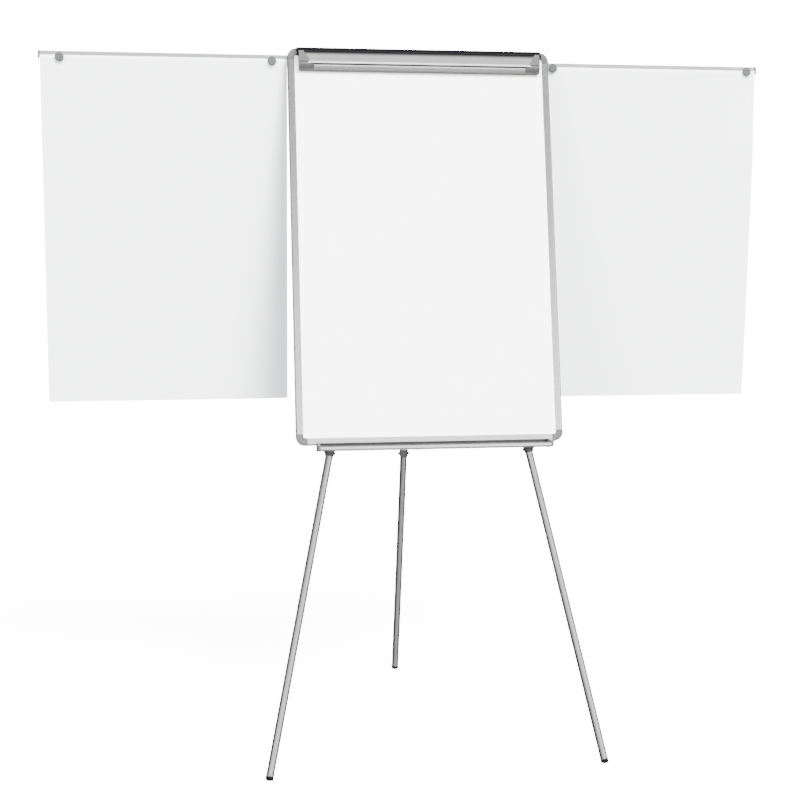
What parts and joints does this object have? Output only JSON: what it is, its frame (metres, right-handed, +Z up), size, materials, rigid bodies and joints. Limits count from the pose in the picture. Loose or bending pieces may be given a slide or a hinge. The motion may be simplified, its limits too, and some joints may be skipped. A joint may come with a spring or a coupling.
{
  "type": "flipchart easel",
  "caption": "Free-standing magnetic flipchart easel on three telescopic legs, with a sprung paper clamp, pen tray and two slide-out arms holding sheets of paper",
  "frame": {"origin": "centre of the bounding box on the floor plane", "axes": "+X runs along the board and the two side arms, +Y points from the writing face to the rear leg, +Z is up"},
  "size_m": [1.859, 0.7821, 1.7518],
  "materials": {
    "white_enamel": "smooth enamel, low gloss",
    "core_board": "raw fibreboard",
    "galvanised": "zinc coated",
    "anodised": "satin anodised",
    "anodised_bright": "satin anodised, pale",
    "grey_plastic": "fine grain",
    "dark_plastic": "fine grain",
    "black_plastic": "fine grain",
    "black_rubber": "matt",
    "magnet_grey": "smooth",
    "bright_steel": "bright drawn",
    "screw_steel": "zinc plated",
    "painted_steel": "satin grey",
    "cast_grey": "painted casting",
    "leg_paint": "satin silver grey",
    "leg_bright": "satin anodised",
    "paper": "matt uncoated paper"
  },
  "bodies": {
    "board": {"writing_sheet": "white_enamel", "board_core": "core_board", "backing_sheet": "galvanised", "frame_rail_left": "anodised", "frame_rail_right": "anodised", "frame_rail_top": "anodised", "frame_rail_bottom": "anodised", "corner_cap_bottom_left": "grey_plastic", "corner_cap_top_left": "grey_plastic", "corner_cap_top_right": "grey_plastic", "corner_cap_bottom_right": "grey_plastic", "frame_screws": "screw_steel", "clamp_base": "black_plastic", "clamp_brackets": "black_plastic", "clamp_hinge_rod": "bright_steel", "clamp_springs": "bright_steel", "hook_rail": "grey_plastic", "pen_tray": "anodised_bright", "tray_end_cap_left": "grey_plastic", "tray_end_cap_right": "grey_plastic", "arm_channel": "anodised", "head_plate": "painted_steel", "leg_hub": "cast_grey", "hub_screws": "screw_steel", "rear_pivot_bolt": "screw_steel", "rear_pivot_nut": "screw_steel", "leg_saddles": "grey_plastic", "front_left_outer_tube": "leg_paint", "front_right_outer_tube": "leg_paint"},
    "clamp": {"clamp_bar": "anodised_bright", "clamp_end_cap_left": "grey_plastic", "clamp_end_cap_right": "grey_plastic", "clamp_grip_strip": "black_rubber"},
    "hook_left": {"pad_hook_left": "black_plastic"},
    "hook_right": {"pad_hook_right": "black_plastic"},
    "arm_out_left": {"arm_left": "painted_steel", "arm_end_cap_left": "grey_plastic", "magnets_left": "magnet_grey", "paper_sheet_left": "paper"},
    "arm_out_right": {"arm_right": "painted_steel", "arm_end_cap_right": "grey_plastic", "magnets_right": "magnet_grey", "paper_sheet_right": "paper"},
    "rear_leg": {"rear_leg_knuckle": "dark_plastic", "rear_outer_tube": "leg_paint"},
    "rear_lower": {"rear_inner_tube": "leg_bright", "rear_foot_plug": "grey_plastic", "rear_rubber_foot": "black_rubber"},
    "rear_lock": {"rear_lock_collar": "grey_plastic", "rear_collar_grips": "black_rubber"},
    "front_lower_left": {"front_left_inner_tube": "leg_bright", "front_left_foot_plug": "grey_plastic", "front_left_rubber_foot": "black_rubber"},
    "front_lock_left": {"front_left_lock_collar": "grey_plastic", "front_left_collar_grips": "black_rubber"},
    "front_lower_right": {"front_right_inner_tube": "leg_bright", "front_right_foot_plug": "grey_plastic", "front_right_rubber_foot": "black_rubber"},
    "front_lock_right": {"front_right_lock_collar": "grey_plastic", "front_right_collar_grips": "black_rubber"}
  },
  "joints": [
    {"name": "clamp_open", "type": "hinge", "parent": "board", "child": "clamp", "pos_m": [0.0185, 0.03284, 1.73767], "axis": [-1, 0, 0], "range_deg": [0, 32], "stiffness_Nm_per_rad": 1.6, "springref_deg": -17.19},
    {"name": "hook_left_slide", "type": "slide", "parent": "board", "child": "hook_left", "axis": [1, 0, 0], "range_m": [-0.04, 0.04]},
    {"name": "hook_right_slide", "type": "slide", "parent": "board", "child": "hook_right", "axis": [1, 0, 0], "range_m": [-0.04, 0.04]},
    {"name": "arm_left_slide", "type": "slide", "parent": "board", "child": "arm_out_left", "axis": [1, 0, 0], "range_m": [0, 0.6], "deforming": ["paper_sheet_left"]},
    {"name": "arm_right_slide", "type": "slide", "parent": "board", "child": "arm_out_right", "axis": [-1, 0, 0], "range_m": [0, 0.56], "deforming": ["paper_sheet_right"]},
    {"name": "rear_leg_fold", "type": "hinge", "parent": "board", "child": "rear_leg", "pos_m": [0.0225, 0.07044, 1.66995], "axis": [-1, 0, 0], "range_deg": [0, 26]},
    {"name": "front_left_extend", "type": "slide", "parent": "board", "child": "front_lower_left", "axis": [0.2068, 0.2474, 0.9466], "range_m": [0, 0.72]},
    {"name": "front_left_lock_turn", "type": "hinge", "parent": "board", "child": "front_lock_left", "pos_m": [-0.23333, -0.18418, 0.75725], "axis": [0.2068, 0.2474, 0.9466], "range_deg": [0, 90]},
    {"name": "front_right_extend", "type": "slide", "parent": "board", "child": "front_lower_right", "axis": [-0.2068, 0.2474, 0.9466], "range_m": [0, 0.72]},
    {"name": "front_right_lock_turn", "type": "hinge", "parent": "board", "child": "front_lock_right", "pos_m": [0.27033, -0.18418, 0.75725], "axis": [-0.2068, 0.2474, 0.9466], "range_deg": [0, 90]},
    {"name": "rear_extend", "type": "slide", "parent": "rear_leg", "child": "rear_lower", "axis": [0, -0.1835, 0.983], "range_m": [0, 0.62]},
    {"name": "rear_lock_turn", "type": "hinge", "parent": "rear_leg", "child": "rear_lock", "pos_m": [0.0225, 0.2581, 0.66452], "axis": [0, -0.1835, 0.983], "range_deg": [0, 90]}
  ]
}
